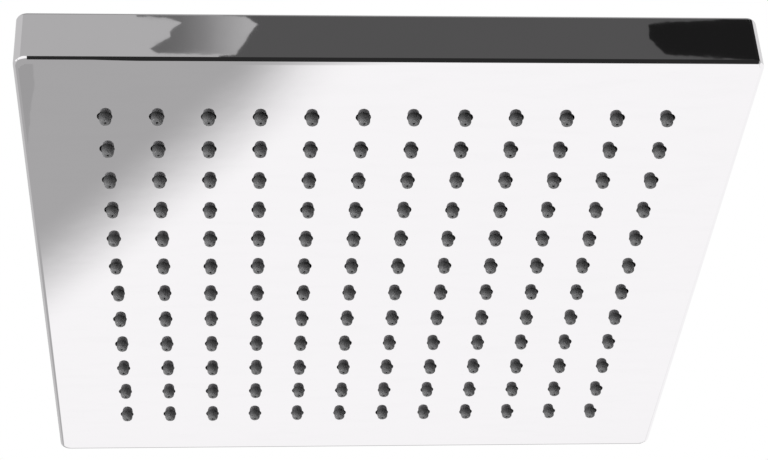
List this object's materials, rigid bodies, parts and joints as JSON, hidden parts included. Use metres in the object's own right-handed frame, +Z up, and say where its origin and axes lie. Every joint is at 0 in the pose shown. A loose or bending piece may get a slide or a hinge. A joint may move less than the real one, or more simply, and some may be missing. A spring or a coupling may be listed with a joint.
{
  "type": "rain shower head",
  "caption": "Square chrome rain shower head with a grid of soft grey nozzles, a snap-in back cover and a swivelling ball connector with a half-inch pipe inlet.",
  "frame": {"origin": "centre of the inlet's mouth, on top of the connector, where the supply pipe screws in", "axes": "+Z up out of the inlet, so the head hangs below and sprays along -Z; +X and +Y along the sides of the square head"},
  "size_m": [0.2, 0.2, 0.0643],
  "materials": {
    "chrome_shell": "bright chrome plating on moulded plastic",
    "chrome_back": "bright chrome plating on moulded plastic",
    "chrome_connector": "bright chrome plating on turned brass",
    "nozzle_silicone": "matt dark grey silicone",
    "black_rubber": "matt black rubber",
    "inner_plastic": "unplated grey moulded plastic",
    "white_plastic": "natural white moulded plastic",
    "steel": "plain stainless steel"
  },
  "bodies": {
    "connector": {"ball_connector": "chrome_connector", "flow_restrictor": "white_plastic", "filter_screen": "steel", "inlet_washer": "black_rubber"},
    "ring": {"friction_ring": "white_plastic"},
    "seal": {"ball_seal": "black_rubber"},
    "head": {"front_shell": "chrome_shell", "nozzle_mat": "nozzle_silicone", "pressure_plate": "inner_plastic", "plate_screws": "steel", "cover_gasket": "black_rubber", "back_cover": "chrome_back", "collar_nut": "chrome_back"}
  },
  "joints": [
    {"name": "swivel", "type": "hinge", "parent": "connector", "child": "ring", "pos_m": [0, 0, -0.03274], "axis": [0, 0, 1], "continuous": true},
    {"name": "tilt_front", "type": "hinge", "parent": "ring", "child": "seal", "pos_m": [0, 0, -0.03274], "axis": [1, 0, 0], "range_deg": [-12, 12]},
    {"name": "tilt_side", "type": "hinge", "parent": "seal", "child": "head", "pos_m": [0, 0, -0.03274], "axis": [0, 1, 0], "range_deg": [-12, 12]}
  ]
}
